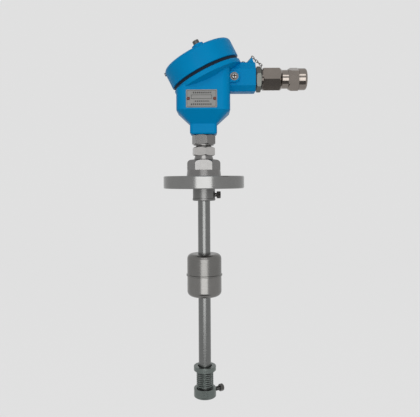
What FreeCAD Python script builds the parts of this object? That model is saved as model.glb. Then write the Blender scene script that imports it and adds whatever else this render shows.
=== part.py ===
import FreeCAD, Part

import math
import os
import re

import Sketcher

# Magnetic float switch for the top of a tank. A cast junction head with a slanted screw cap stands
# on a threaded nipple above a bolted flange. Below the flange a tube holds the reed switches, and
# a round steel float with a ring magnet slides on it between an upper stop collar and a loose
# washer that rides on a buffer spring over the lower stop collar.
# Millimetres, +Z up. The origin is the centre of the flange's lower face, the cable entry points
# along +X, and the cap leans towards -X.

Vector = FreeCAD.Vector

SIZES = {
    # Flange
    "flange_diameter": 105.0,
    "flange_thickness": 16.0,
    "flange_chamfer": 1.0,
    "bolt_circle": 75.0,
    "bolt_hole": 14.0,
    "bolt_count": 4,
    # Stem tube and what is inside it
    "stem_diameter": 16.0,
    "stem_wall": 1.5,
    "stem_tip_depth": 271.0,
    "plug_thickness": 4.0,
    "board_width": 9.0,
    "board_thickness": 1.6,
    "board_top": 20.0,
    "reed_diameter": 2.4,
    "reed_length": 14.0,
    "reed_lead_diameter": 0.6,
    "reed_lead_length": 6.0,
    "reed_lowest_depth": 190.0,
    "reed_pitch": 65.0,
    "reed_seat_gap": 0.05,
    "wire_diameter": 1.4,
    "wire_spread": 2.0,
    "wire_overlap": 12.0,
    "wire_seat_gap": 0.1,
    # Fitting welded on the flange, with the nuts above it
    "fitting_base_diameter": 45.0,
    "fitting_base_height": 8.0,
    "fitting_base_draft": 0.9,
    "fitting_hex_width": 37.5,
    "fitting_hex_height": 14.2,
    "fitting_dome_fall": 1.6,
    "fitting_dome_radius": 5.0,
    "fitting_thread_depth": 8.0,
    "ferrule_diameter": 23.0,
    "ferrule_height": 4.3,
    "ferrule_foot_diameter": 24.6,
    "ferrule_foot_height": 2.0,
    "nipple_diameter": 20.0,
    "nipple_bore": 14.0,
    "nipple_engagement": 14.0,
    "neck_nut_width": 27.0,
    "neck_nut_chamfer": 1.4,
    "neck_nut_crown": 2.5,
    "neck_lock_nut_height": 11.1,
    "neck_lock_nut_turn": 39.8,
    "thread_gap": 2.3,
    "union_nut_height": 13.7,
    "union_nut_turn": 46.8,
    "union_face_height": 0.9,
    # Cast head
    "neck_width": 34.8,
    "neck_corner": 4.5,
    "neck_height": 13.1,
    "neck_edge_round": 2.6,
    "cone_height": 16.3,
    "body_width": 68.0,
    "body_corner": 11.0,
    "casting_wall": 6.0,
    "chamber_corner": 16.0,
    "chamber_rise": 8.0,
    "core_floor": 18.5,
    "core_width": 31.0,
    "core_corner": 8.0,
    "post_diameter": 8.0,
    "post_root": 2.5,
    # Slanted rim and spigot that the cap screws onto
    "cap_tilt": 26.6,
    "rim_shift": 3.7,
    "rim_height": 79.4,
    "rim_inset": 0.3,
    "rim_thickness": 6.0,
    "rim_edge_round": 1.4,
    "rim_root_diameter": 60.0,
    "rim_flare_height": 6.0,
    "groove_height": 4.0,
    "spigot_diameter": 82.0,
    "spigot_height": 14.0,
    "spigot_wall": 5.0,
    "spigot_depth": 10.0,
    # Cable arm
    "arm_overhang": 21.575,
    "arm_axis_height": 72.2,
    "arm_half_depth": 17.5,
    "arm_flat_half_height": 10.3,
    "arm_top_height": 20.7,
    "arm_base_depth": 17.2,
    "arm_base_half_width": 9.5,
    "arm_corner_round": 2.0,
    "arm_end_chamfer": 0.8,
    "entry_thread": 24.0,
    # Ear on the arm that the chain hangs over
    "ear_width": 9.0,
    "ear_height": 6.8,
    "ear_foot_length": 10.8,
    "ear_crest_start": 4.6,
    "ear_crest_end": 3.7,
    "ear_round": 0.6,
    "ear_root_depth": 2.0,
    # Earth terminal
    "earth_reach": 39.4,
    "earth_boss_height": 14.4,
    "earth_boss_round": 6.4,
    "earth_boss_face": 22.0,
    "earth_boss_edge": 1.2,
    "earth_thread": 4.0,
    "earth_thread_depth": 7.0,
    "earth_washer_diameter": 10.2,
    "earth_washer_thickness": 1.1,
    "earth_head_diameter": 7.6,
    "earth_head_height": 2.8,
    "earth_head_crown": 0.5,
    "earth_head_round": 1.4,
    "cross_slot_width": 1.2,
    "cross_slot_length": 5.3,
    "cross_slot_depth": 1.4,
    # Nameplate
    "plate_width": 38.5,
    "plate_height": 22.2,
    "plate_thickness": 0.6,
    "plate_corner": 0.8,
    "plate_shift": -2.0,
    "plate_centre_height": 42.4,
    "rivet_spacing": 32.6,
    "rivet_diameter": 2.4,
    "rivet_head_diameter": 4.0,
    "rivet_head_height": 1.1,
    "rivet_head_round": 0.7,
    "rivet_grip": 4.0,
    # Cap
    "cap_wall": 3.3,
    "cap_height": 26.0,
    "cap_edge_round": 5.0,
    "cap_foot_round": 0.8,
    "cap_crown": 5.5,
    "cap_thread_clearance": 0.4,
    "seal_ring_section": 2.6,
    "seal_ring_clearance": 0.2,
    "seal_ring_rise": 2.6,
    "lock_boss_diameter": 15.0,
    "lock_boss_height": 2.4,
    "lock_bolt_inset": 0.5,
    "lock_bolt_shift": 3.4,
    "lock_bolt_thread": 5.0,
    "lock_bolt_head_diameter": 8.2,
    "lock_bolt_head_height": 5.8,
    "lock_bolt_socket": 4.0,
    "lock_bolt_socket_depth": 2.6,
    "lock_bolt_clearance": 0.4,
    "lock_bolt_head_round": 0.6,
    "side_screw_diameter": 4.6,
    "side_screw_length": 8.0,
    "side_screw_proud": 1.3,
    "side_screw_rise": 21.6,
    "side_screw_socket": 2.5,
    "side_screw_round": 0.4,
    # Terminal block in the chamber
    "block_length": 36.0,
    "block_width": 26.0,
    "block_height": 12.0,
    "block_foot_height": 4.0,
    "block_foot_length": 7.0,
    "block_corner": 1.5,
    "block_screw_spacing": 29.0,
    "block_screw_thread": 3.0,
    "block_screw_depth": 5.0,
    "block_screw_head": 5.6,
    "terminal_pitch": 12.0,
    "terminal_row_spacing": 14.0,
    "terminal_screw_thread": 3.5,
    "terminal_screw_head": 6.4,
    "terminal_screw_depth": 7.0,
    "screw_tip_gap": 0.5,
    "screw_head_height": 2.2,
    "screw_slot_width": 0.9,
    "screw_slot_depth": 1.1,
    # Cable gland, measured outwards from the arm's end face
    "gasket_thickness": 1.6,
    "gasket_diameter": 30.0,
    "gasket_seat_gap": 0.01,
    "gland_lock_width": 29.0,
    "gland_lock_height": 5.8,
    "gland_lock_turn": 42.0,
    "gland_gap": 2.3,
    "gland_hex_width": 28.7,
    "gland_hex_length": 21.0,
    "gland_hex_turn": 8.0,
    "gland_shoulder_length": 4.2,
    "gland_neck_diameter": 24.4,
    "gland_neck_length": 18.0,
    "gland_bore": 15.0,
    "gland_seat_bore": 20.0,
    "gland_thread_depth": 14.0,
    "gland_chamfer": 1.3,
    "gland_hex_crown": 2.1,
    "seal_length": 15.6,
    "seal_bore": 11.0,
    "seal_clearance": 0.2,
    "seal_seat_gap": 0.05,
    "seal_mouth_chamfer": 1.5,
    "follower_thickness": 1.6,
    "follower_bore": 15.6,
    "nut_start": 7.8,
    "nut_flare_length": 3.9,
    "nut_foot_rise": 0.6,
    "nut_hex_width": 26.7,
    "nut_hex_length": 9.2,
    "nut_hex_turn": 25.0,
    "nut_groove_length": 0.6,
    "nut_groove_diameter": 27.2,
    "nut_ring_diameter": 28.4,
    "nut_ring_length": 10.5,
    "nut_ring_round": 3.0,
    "nut_ring_edge": 0.2,
    "nut_thread_clearance": 0.15,
    "nut_nose_clearance": 0.4,
    "nut_socket_relief": 1.0,
    "nut_mouth_chamfer": 1.0,
    # Retaining chain
    "chain_wire": 0.9,
    "chain_link_width": 3.4,
    "chain_link_count": 5,
    "chain_play": 0.25,
    "chain_sag": 0.4,
    "chain_seat_gap": 0.05,
    "chain_hook_overhang": 2.6,
    "chain_ring_section": 1.4,
    "chain_ring_gap": 0.1,
    "ring_stalk_diameter": 0.8,
    "ring_eye_reach": 17.4,
    "ring_eye_radius": 1.5,
    "chain_screw_setback": 15.2,
    "chain_screw_thread": 2.5,
    "chain_screw_depth": 5.0,
    "chain_screw_clearance": 0.5,
    "chain_screw_head": 5.0,
    "chain_screw_head_height": 1.8,
    "chain_screw_round": 1.0,
    # Stop collars with their set bolts
    "collar_diameter": 28.9,
    "upper_collar_height": 16.0,
    "collar_lip_height": 3.0,
    "collar_lip_proud": 0.4,
    "collar_lip_blend": 0.3,
    "collar_chamfer": 0.7,
    "lower_collar_height": 11.5,
    "set_bolt_thread": 5.0,
    "set_bolt_width": 8.2,
    "set_bolt_head_height": 5.2,
    "set_bolt_chamfer": 0.7,
    "set_bolt_head_turn": 15.0,
    "upper_bolt_depth": 8.5,
    "upper_bolt_reach": 21.8,
    "lower_bolt_rise": 5.8,
    "lower_bolt_reach": 27.0,
    "lower_bolt_turn": 30.0,
    "set_bolt_tip_gap": 0.1,
    # Float
    "float_diameter": 44.6,
    "float_length": 55.0,
    "float_top_depth": 85.0,
    "float_shoulder": 6.5,
    "float_wall": 0.5,
    "float_bead_proud": 1.1,
    "float_bead_half_height": 1.2,
    "float_bead_flat": 0.66,
    "float_clearance": 0.4,
    "float_tube_wall": 0.5,
    "magnet_diameter": 28.0,
    "magnet_height": 8.0,
    "magnet_round": 1.0,
    # Buffer washer and spring
    "washer_diameter": 29.0,
    "washer_thickness": 5.7,
    "washer_clearance": 1.2,
    "washer_chamfer": 0.6,
    "spring_diameter": 22.2,
    "spring_wire": 1.7,
    "spring_length": 22.5,
    "spring_turns": 8,
    "spring_seat_gap": 0.05,
    # Allowances of the cutting features: a blank is turned this much over its hexagon's corners,
    # the flats' cutter sweeps wider than the blank, and an open cut runs out past the metal
    "blank_margin": 0.05,
    "cutter_clearance": 10.0,
    "cut_overshoot": 1.0,
}

doc = FreeCAD.newDocument("float_switch")
sheet = doc.addObject("Spreadsheet::Sheet", "sizes")
for row, (alias, number) in enumerate(SIZES.items(), start=1):
    sheet.set(f"A{row}", alias)
    sheet.set(f"B{row}", str(number))
    sheet.setAlias(f"B{row}", alias)
doc.recompute()

SIZE_NAME = re.compile(r"\b[a-z]+(?:_[a-z]+)+\b")
CENTRE = ("0", "0", "0")
MATCH = 1e-3
REED_COUNT = 3

# Levels above the flange's lower face, and distances along the cable entry from the arm's end
FITTING_TOP = "(flange_thickness + fitting_base_height + fitting_hex_height)"
FERRULE_TOP = f"({FITTING_TOP} + ferrule_height)"
LOCK_NUT_TOP = f"({FERRULE_TOP} + neck_lock_nut_height)"
HEAD_BOTTOM = f"({LOCK_NUT_TOP} + thread_gap + union_nut_height)"
ARM_AXIS = f"({HEAD_BOTTOM} + arm_axis_height)"
RIM_LEVEL = f"({HEAD_BOTTOM} + rim_height)"
RING_BACK = "(spigot_diameter / 2 + seal_ring_section + 2 * seal_ring_clearance)"
CAP_RADIUS = f"({RING_BACK} + cap_wall)"
RIM_RADIUS = f"({CAP_RADIUS} - rim_inset)"
ARM_END = f"(rim_shift + {RIM_RADIUS} * cos(cap_tilt) + arm_overhang)"
SPIGOT_BORE = "(spigot_diameter / 2 - spigot_wall)"
LOCK_BOLT_REACH = f"({SPIGOT_BORE} + lock_bolt_inset)"
CONE_TOP = "(neck_height + cone_height)"
POST_TOP = f"({HEAD_BOTTOM} + {CONE_TOP})"
COLLAR_TOP = "(lower_collar_height - stem_tip_depth)"
UPPER_BOLT_RISE = "(upper_collar_height - upper_bolt_depth)"
FLOAT_BORE = "(stem_diameter / 2 + float_clearance)"
GLAND_HEX_START = "(gasket_thickness + gland_lock_height + gland_gap)"
RING_MIDDLE = "(gasket_thickness + gland_lock_height + gland_gap / 2)"
GLAND_NECK_START = f"({GLAND_HEX_START} + gland_hex_length + gland_shoulder_length)"
NUT_START = f"({GLAND_NECK_START} + nut_start)"
NUT_END = f"({NUT_START} + nut_flare_length + nut_hex_length + nut_groove_length + nut_ring_length)"
SEAL_START = f"({GLAND_HEX_START} + gland_hex_length)"
FOLLOWER_START = f"({SEAL_START} + seal_length + seal_clearance)"


def formula(text):
    """The expression with each size name pointed at the sheet."""
    return SIZE_NAME.sub(r"sizes.\g<0>", str(text))


def value(text):
    result = sheet.evalExpression(formula(text))
    return float(getattr(result, "Value", result))


def bind(item, name, text):
    item.setExpression(name, formula(text))


def place(part, x="0", y="0", z="0", axis=None, turn="0"):
    """Ties the part's place, and its turn about an axis, to the sheet."""
    if axis:
        part.Placement = FreeCAD.Placement(Vector(), FreeCAD.Rotation(Vector(*axis), 1))
        bind(part, "Placement.Rotation.Angle", turn)
    for letter, text in zip("xyz", (x, y, z)):
        bind(part, f"Placement.Base.{letter}", text)
    return part


def new_body(name):
    body = doc.addObject("PartDesign::Body", name)
    body.Label = name
    return body


def sketch_on(body, plane, shift=CENTRE, turn=None):
    """A sketch on one of the body's own planes, shifted and turned within it."""
    sketch = body.newObject("Sketcher::SketchObject", f"{body.Name}_sketch")
    support = next(item for item in body.Origin.OriginFeatures if item.Role == plane)
    sketch.AttachmentSupport = [(support, "")]
    sketch.MapMode = "FlatFace"
    for letter, text in zip("xyz", shift):
        bind(sketch, f"AttachmentOffset.Base.{letter}", text)
    if turn:
        bind(sketch, "AttachmentOffset.Rotation.Angle", turn)
    return sketch


def locate(rules, geometry, point, x, y):
    """Adds the rules that hold one point of the sketch at (x, y)."""
    for kind, axis, text in (("DistanceX", -2, x), ("DistanceY", -1, y)):
        if text == "0":
            rules.append((Sketcher.Constraint("PointOnObject", geometry, point, axis), None))
        else:
            rule = Sketcher.Constraint(kind, -1, 1, geometry, point, value(text))
            rules.append((rule, text))


def constrain(sketch, rules):
    first = sketch.ConstraintCount
    sketch.addConstraint([rule for rule, text in rules])
    for number, (rule, text) in enumerate(rules, start=first):
        if text is not None:
            bind(sketch, f"Constraints[{number}]", text)


def outline(sketch, corners):
    """A closed outline through corners (x, y), or (x, y, radius) where the corner is rounded."""
    count = len(corners)
    points = [Vector(value(corner[0]), value(corner[1]), 0) for corner in corners]
    arrivals, departures, arcs = [], [], []
    for i, corner in enumerate(corners):
        back = (points[i - 1] - points[i]).normalize()
        ahead = (points[(i + 1) % count] - points[i]).normalize()
        radius = value(corner[2]) if len(corner) > 2 else 0
        half = back.getAngle(ahead) / 2
        setback = radius / math.tan(half)
        arrivals.append(points[i] + back * setback)
        departures.append(points[i] + ahead * setback)
        middle = points[i] + (back + ahead).normalize() * (radius / math.sin(half)) if radius else None
        arcs.append((middle, radius))
    lines = []
    for i in range(count):
        side = Part.LineSegment(departures[i], arrivals[(i + 1) % count])
        lines.append(sketch.addGeometry(side, False))
    rules = []
    for i, corner in enumerate(corners):
        middle, radius = arcs[i]
        if not radius:
            rules.append((Sketcher.Constraint("Coincident", lines[i - 1], 2, lines[i], 1), None))
            locate(rules, lines[i], 1, corner[0], corner[1])
            continue
        start, end = arrivals[i] - middle, departures[i] - middle
        left_turn = start.cross(end).z > 0
        if not left_turn:
            start, end = end, start
        circle_of_corner = Part.Circle(middle, Vector(0, 0, 1), radius)
        angles = [math.atan2(point.y, point.x) for point in (start, end)]
        arc = sketch.addGeometry(Part.ArcOfCircle(circle_of_corner, *angles), False)
        anchor = sketch.addGeometry(Part.Point(points[i]), True)
        near, far = (1, 2) if left_turn else (2, 1)
        rules.append((Sketcher.Constraint("Tangent", lines[i - 1], 2, arc, near), None))
        rules.append((Sketcher.Constraint("Tangent", arc, far, lines[i], 1), None))
        rules.append((Sketcher.Constraint("Radius", arc, radius), corner[2]))
        locate(rules, anchor, 1, corner[0], corner[1])
        rules.append((Sketcher.Constraint("PointOnObject", anchor, 1, lines[i - 1]), None))
        rules.append((Sketcher.Constraint("PointOnObject", anchor, 1, lines[i]), None))
    constrain(sketch, rules)


def circle(sketch, diameter, x="0", y="0"):
    centre = Vector(value(x), value(y), 0)
    round_line = Part.Circle(centre, Vector(0, 0, 1), value(diameter) / 2)
    number = sketch.addGeometry(round_line, False)
    rules = [(Sketcher.Constraint("Diameter", number, value(diameter)), diameter)]
    locate(rules, number, 3, x, y)
    constrain(sketch, rules)


def rounded_rectangle(sketch, width, height, radius):
    right, top = f"({width}) / 2", f"({height}) / 2"
    left, bottom = f"-({width}) / 2", f"-({height}) / 2"
    corners = [(left, bottom), (right, bottom), (right, top), (left, top)]
    outline(sketch, [(x, y, radius) for x, y in corners])


def hexagon(sketch, width):
    """Six corners, the first on the sketch's own x axis, with the given width across the flats."""
    corner, side = f"({width}) / sqrt(3)", f"({width}) / sqrt(12)"
    half, low = f"({width}) / 2", f"-({width}) / 2"
    right = [(corner, "0"), (side, half)]
    left = [(f"-{side}", half), (f"-{corner}", "0"), (f"-{side}", low)]
    outline(sketch, right + left + [(side, low)])


def revolve(body, corners, axis="V_Axis", plane="XZ_Plane", kind="Revolution", shift=CENTRE, turn=None):
    sketch = sketch_on(body, plane, shift, turn)
    outline(sketch, corners)
    feature = body.newObject(f"PartDesign::{kind}", f"{body.Name}_{kind.lower()}")
    feature.Profile = sketch
    feature.ReferenceAxis = (sketch, [axis])
    feature.Angle = 360
    return feature


def extrude(body, sketch, length=None, kind="Pad", symmetric=False, reverse=False):
    """A pad, or a pocket, of one sketch; with no length it goes right through."""
    feature = body.newObject(f"PartDesign::{kind}", f"{body.Name}_{kind.lower()}")
    feature.Profile = sketch
    feature.Reversed = reverse
    if symmetric:
        feature.SideType = "Symmetric"
    if length is None:
        feature.Type = "ThroughAll"
    else:
        bind(feature, "Length", length)
    return feature


def drill(body, plane, diameter, depth, shift=CENTRE, x="0", y="0", reverse=False):
    sketch = sketch_on(body, plane, shift)
    circle(sketch, diameter, x, y)
    return extrude(body, sketch, depth, kind="Pocket", reverse=reverse)


def mill_flats(body, plane, width, length, start, turn=None):
    """Cuts a turned blank down to a hexagon over a length that ends at start, back along the plane."""
    sketch = sketch_on(body, plane, ("0", "0", start), turn)
    circle(sketch, f"({width}) + 2 * cutter_clearance")
    hexagon(sketch, width)
    return extrude(body, sketch, length, kind="Pocket")


def edges_where(feature, test):
    """The names of the edges whose bounding box passes the test."""
    doc.recompute()
    edges = enumerate(feature.Shape.Edges, start=1)
    return [f"Edge{number}" for number, edge in edges if test(edge.BoundBox)]


def dress(body, feature, kind, size, test):
    """Fillets or chamfers the edges of a feature that pass the test."""
    names = edges_where(feature, test)
    finish = body.newObject(f"PartDesign::{kind}", f"{body.Name}_{kind.lower()}")
    finish.Base = (feature, names)
    bind(finish, "Radius" if kind == "Fillet" else "Size", size)
    return finish


def make_flange():
    body = new_body("flange")
    inner, outer = "stem_diameter / 2", "flange_diameter / 2"
    shoulder = "flange_diameter / 2 - flange_chamfer"
    revolve(
        body,
        [
            (inner, "0"),
            (shoulder, "0"),
            (outer, "flange_chamfer"),
            (outer, "flange_thickness - flange_chamfer"),
            (shoulder, "flange_thickness"),
            (inner, "flange_thickness"),
        ],
    )
    sketch = sketch_on(body, "XY_Plane", turn="180 / bolt_count")
    circle(sketch, "bolt_hole", "bolt_circle / 2", "0")
    hole = extrude(body, sketch, None, kind="Pocket", symmetric=True)
    doc.recompute()
    pattern = body.newObject("PartDesign::PolarPattern", "flange_bolt_holes")
    pattern.Originals = [hole]
    pattern.Axis = (sketch, ["N_Axis"])
    pattern.Angle = 360
    bind(pattern, "Occurrences", "bolt_count")
    body.Tip = pattern
    return body


def make_fitting():
    """Weld collar, hexagon and threaded socket, turned from one bar."""
    body = new_body("flange_fitting")
    hex_radius = "(fitting_hex_width / sqrt(3) + blank_margin)"
    hex_top = "(fitting_base_height + fitting_hex_height)"
    socket_floor = f"{hex_top} - fitting_thread_depth"
    revolve(
        body,
        [
            ("stem_diameter / 2", "0"),
            ("fitting_base_diameter / 2", "0"),
            ("fitting_base_diameter / 2 - fitting_base_draft", "fitting_base_height"),
            (hex_radius, "fitting_base_height"),
            (hex_radius, f"{hex_top} - fitting_dome_fall", "fitting_dome_radius"),
            ("ferrule_foot_diameter / 2", hex_top),
            ("nipple_diameter / 2", hex_top),
            ("nipple_diameter / 2", socket_floor),
            ("stem_diameter / 2", socket_floor),
        ],
    )
    mill_flats(body, "XY_Plane", "fitting_hex_width", "fitting_hex_height", hex_top)
    return place(body, z="flange_thickness")


def make_ferrule():
    body = new_body("compression_ferrule")
    revolve(
        body,
        [
            ("nipple_diameter / 2", "0"),
            ("ferrule_foot_diameter / 2", "0"),
            ("ferrule_foot_diameter / 2", "ferrule_foot_height"),
            ("ferrule_diameter / 2", "ferrule_foot_height"),
            ("ferrule_diameter / 2", "ferrule_height"),
            ("nipple_diameter / 2", "ferrule_height"),
        ],
    )
    return place(body, z=FITTING_TOP)


def make_nipple():
    """Threaded pipe that joins the fitting to the head; its fine thread is left to the finish."""
    body = new_body("threaded_nipple")
    bottom = f"({FITTING_TOP} - fitting_thread_depth)"
    length = f"({HEAD_BOTTOM} + nipple_engagement - {bottom})"
    revolve(
        body,
        [
            ("nipple_bore / 2", "0"),
            ("nipple_diameter / 2", "0"),
            ("nipple_diameter / 2", length),
            ("nipple_bore / 2", length),
        ],
    )
    return place(body, z=bottom)


def make_neck_nut(name, level, face_height="0"):
    """Hexagon nut with both ends chamfered, and a round washer face below where it has one."""
    body = new_body(name)
    height, turn = f"{name}_height", f"{name}_turn"
    corner = "(neck_nut_width / sqrt(3) + blank_margin)"
    rim = f"({corner} - neck_nut_crown)"
    corners = [
        ("nipple_diameter / 2", "0"),
        (rim, "0"),
        (rim, face_height),
        (corner, f"{face_height} + neck_nut_chamfer"),
        (corner, f"{height} - neck_nut_chamfer"),
        (rim, height),
        ("nipple_diameter / 2", height),
    ]
    if face_height == "0":
        del corners[1]
    revolve(body, corners)
    mill_flats(body, "XY_Plane", "neck_nut_width", height, height, turn)
    return place(body, z=level)


def make_head():
    """Cast housing: square neck, cone and body, slanted round rim with its spigot, and cable arm."""
    body = new_body("head_body")
    sketch = sketch_on(body, "XY_Plane")
    rounded_rectangle(sketch, "neck_width", "neck_width", "neck_corner")
    neck = extrude(body, sketch, "neck_height")
    dress(body, neck, "Fillet", "neck_edge_round", lambda box: box.ZMax < MATCH)

    lower = sketch_on(body, "XY_Plane", ("0", "0", "neck_height"))
    rounded_rectangle(lower, "neck_width", "neck_width", "neck_corner")
    upper = sketch_on(body, "XY_Plane", ("0", "0", CONE_TOP))
    rounded_rectangle(upper, "body_width", "body_width", "body_corner")
    cone = body.newObject("PartDesign::AdditiveLoft", "head_cone")
    cone.Profile = lower
    cone.Sections = [upper]
    cone.Ruled = True

    tall = f"rim_height + body_width / 2 * tan(cap_tilt) - {CONE_TOP}"
    sketch = sketch_on(body, "XY_Plane", ("0", "0", CONE_TOP))
    rounded_rectangle(sketch, "body_width", "body_width", "body_corner")
    extrude(body, sketch, tall)

    tilt = {"shift": ("rim_shift", "rim_height", "0"), "turn": "cap_tilt"}
    trim = "-(groove_height / 2 + rim_thickness / 2)"
    sketch = sketch_on(body, "XZ_Plane", **tilt)
    far = "body_width"
    outline(sketch, [(f"-{far}", trim), (far, trim), (far, far), (f"-{far}", far)])
    extrude(body, sketch, None, kind="Pocket", symmetric=True)

    rim_top, rim_foot = "-groove_height / 2", "-(groove_height / 2 + rim_thickness)"
    spigot_top = "(groove_height / 2 + spigot_height)"
    revolve(
        body,
        [
            ("0", f"{rim_foot} - rim_flare_height"),
            ("rim_root_diameter / 2", f"{rim_foot} - rim_flare_height"),
            (RIM_RADIUS, rim_foot),
            (RIM_RADIUS, rim_top, "rim_edge_round"),
            ("spigot_diameter / 2", rim_top),
            ("spigot_diameter / 2", spigot_top),
            ("0", spigot_top),
        ],
        **tilt,
    )
    make_arm(body)
    make_earth_boss(body)

    revolve(
        body,
        [
            ("0", "-spigot_depth"),
            (SPIGOT_BORE, "-spigot_depth"),
            (SPIGOT_BORE, f"{spigot_top} + cut_overshoot"),
            ("0", f"{spigot_top} + cut_overshoot"),
        ],
        kind="Groove",
        **tilt,
    )
    make_chamber(body)
    drill(body, "XY_Plane", "nipple_diameter", f"{CONE_TOP} + cut_overshoot", reverse=True)
    drill(body, "YZ_Plane", "entry_thread", ARM_END, ("0", "0", ARM_END), "0", "arm_axis_height")

    front = ("0", "0", "body_width / 2")
    for side in ("-", ""):
        rivet_x = f"plate_shift {side or '+'} rivet_spacing / 2"
        drill(body, "XZ_Plane", "rivet_diameter", "rivet_grip", front, rivet_x, "plate_centre_height")
        drill(
            body,
            "XY_Plane",
            "block_screw_thread",
            "block_screw_depth",
            ("0", "0", CONE_TOP),
            f"{side}block_screw_spacing / 2",
            "0",
        )
    return place(body, z=HEAD_BOTTOM)


def make_chamber(body):
    """Wiring chamber with walls of even thickness, cored down into the cone, and two screw posts."""
    width = "(body_width - 2 * casting_wall)"
    sketch = sketch_on(body, "XY_Plane", ("0", "0", CONE_TOP))
    rounded_rectangle(sketch, width, width, "chamber_corner")
    extrude(body, sketch, f"rim_height + chamber_rise - {CONE_TOP}", kind="Pocket", reverse=True)

    upper = sketch_on(body, "XY_Plane", ("0", "0", CONE_TOP))
    rounded_rectangle(upper, width, width, "chamber_corner")
    lower = sketch_on(body, "XY_Plane", ("0", "0", "core_floor"))
    rounded_rectangle(lower, "core_width", "core_width", "core_corner")
    core = body.newObject("PartDesign::SubtractiveLoft", "head_core")
    core.Profile = upper
    core.Sections = [lower]
    core.Ruled = True

    sketch = sketch_on(body, "XY_Plane", ("0", "0", "core_floor - post_root"))
    for side in ("-", ""):
        circle(sketch, "post_diameter", f"{side}block_screw_spacing / 2", "0")
    extrude(body, sketch, f"{CONE_TOP} - core_floor + post_root")


def make_arm(body):
    """Eight-sided arm with its bevelled end, and the ear on top that the chain hangs over."""
    start = "(body_width / 2 - body_corner)"
    sketch = sketch_on(body, "YZ_Plane", ("0", "arm_axis_height", start))
    flat, top, base = "arm_flat_half_height", "arm_top_height", "arm_base_depth"
    half = [
        ("arm_half_depth", f"-{flat}"),
        ("arm_half_depth", flat),
        ("arm_base_half_width", top),
        ("-arm_base_half_width", top),
        ("-arm_half_depth", flat),
        ("-arm_half_depth", f"-{flat}"),
        ("-arm_base_half_width", f"-{base}"),
        ("arm_base_half_width", f"-{base}"),
    ]
    outline(sketch, [(y, z, "arm_corner_round") for y, z in half])
    arm = extrude(body, sketch, f"{ARM_END} - {start}")
    end = value(ARM_END)
    dress(body, arm, "Chamfer", "arm_end_chamfer", lambda box: box.XMin > end - MATCH)

    top_level = "(arm_axis_height + arm_top_height)"
    crest = f"{top_level} + ear_height"
    sketch = sketch_on(body, "XZ_Plane")
    outline(
        sketch,
        [
            (f"{ARM_END} - ear_foot_length", f"{top_level} - ear_root_depth"),
            (f"{ARM_END} - arm_end_chamfer", f"{top_level} - ear_root_depth"),
            (f"{ARM_END} - ear_crest_end", crest, "ear_round"),
            (f"{ARM_END} - ear_crest_start", crest, "ear_round"),
            (f"{ARM_END} - ear_foot_length", top_level),
        ],
    )
    extrude(body, sketch, "ear_width", symmetric=True)
    drill(
        body,
        "XY_Plane",
        "chain_screw_thread",
        "chain_screw_depth",
        ("0", "0", top_level),
        f"{ARM_END} - chain_screw_setback",
        "0",
    )


def make_earth_boss(body):
    """Raised pad on the front of the arm, tapped for the earth screw."""
    left, right = "(body_width / 2 - body_corner)", "(earth_reach + earth_boss_height / 2)"
    low = "arm_axis_height - earth_boss_height / 2"
    high = "arm_axis_height + earth_boss_height / 2"
    root = "(arm_half_depth - arm_corner_round)"
    sketch = sketch_on(body, "XZ_Plane", ("0", "0", root))
    outline(
        sketch,
        [
            (left, low),
            (right, low, "earth_boss_round"),
            (right, high, "earth_boss_round"),
            (left, high),
        ],
    )
    boss = extrude(body, sketch, f"earth_boss_face - {root}")
    face, edge = value("earth_boss_face"), value("body_width / 2")

    def on_face(box):
        return abs(box.YMax + face) < MATCH and box.XMax > edge + MATCH

    dress(body, boss, "Fillet", "earth_boss_edge", on_face)
    drill(
        body,
        "XZ_Plane",
        "earth_thread",
        "earth_thread_depth",
        ("0", "0", "earth_boss_face"),
        "earth_reach",
        "arm_axis_height",
    )


def tilt_with_cap(part):
    return place(part, x="rim_shift", z=RIM_LEVEL, axis=(0, -1, 0), turn="cap_tilt")


def make_cap():
    """Screw cap, with the boss of its lock bolt and a tapped hole in its side."""
    body = new_body("head_cap")
    foot, inside = "groove_height / 2", "(spigot_diameter / 2 + cap_thread_clearance)"
    top = "(groove_height / 2 + cap_height)"
    ceiling = f"({top} - cap_crown)"
    ring_floor = f"({foot} + seal_ring_rise)"
    ring_roof = f"({ring_floor} + seal_ring_section + 2 * seal_ring_clearance)"
    revolve(
        body,
        [
            (inside, foot),
            (CAP_RADIUS, foot, "cap_foot_round"),
            (CAP_RADIUS, top, "cap_edge_round"),
            ("0", top),
            ("0", ceiling),
            (inside, ceiling),
            (inside, ring_roof),
            (RING_BACK, ring_roof),
            (RING_BACK, ring_floor),
            (inside, ring_floor),
        ],
    )
    sketch = sketch_on(body, "XY_Plane", ("0", "0", ceiling))
    circle(sketch, "lock_boss_diameter", "lock_bolt_shift", f"-{LOCK_BOLT_REACH}")
    extrude(body, sketch, "cap_crown + lock_boss_height")
    boss_top = f"({top} + lock_boss_height)"
    depth = "lock_boss_height + cap_crown + cut_overshoot"
    spot = ("lock_bolt_shift", f"-{LOCK_BOLT_REACH}")
    drill(body, "XY_Plane", "lock_bolt_thread", depth, ("0", "0", boss_top), *spot)
    drill(
        body,
        "YZ_Plane",
        "side_screw_diameter",
        "side_screw_length",
        ("0", "0", f"-{CAP_RADIUS}"),
        "0",
        "groove_height / 2 + side_screw_rise",
        reverse=True,
    )
    return tilt_with_cap(body)


def make_seal_ring():
    ring = doc.addObject("Part::Torus", "cap_seal_ring")
    ring.Label = "cap_seal_ring"
    bind(ring, "Radius1", "spigot_diameter / 2 + seal_ring_clearance + seal_ring_section / 2")
    bind(ring, "Radius2", "seal_ring_section / 2")
    rise = "(groove_height / 2 + seal_ring_rise + seal_ring_clearance + seal_ring_section / 2)"
    return place(
        ring,
        x=f"rim_shift - {rise} * sin(cap_tilt)",
        z=f"{RIM_LEVEL} + {rise} * cos(cap_tilt)",
        axis=(0, -1, 0),
        turn="cap_tilt",
    )


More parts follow.
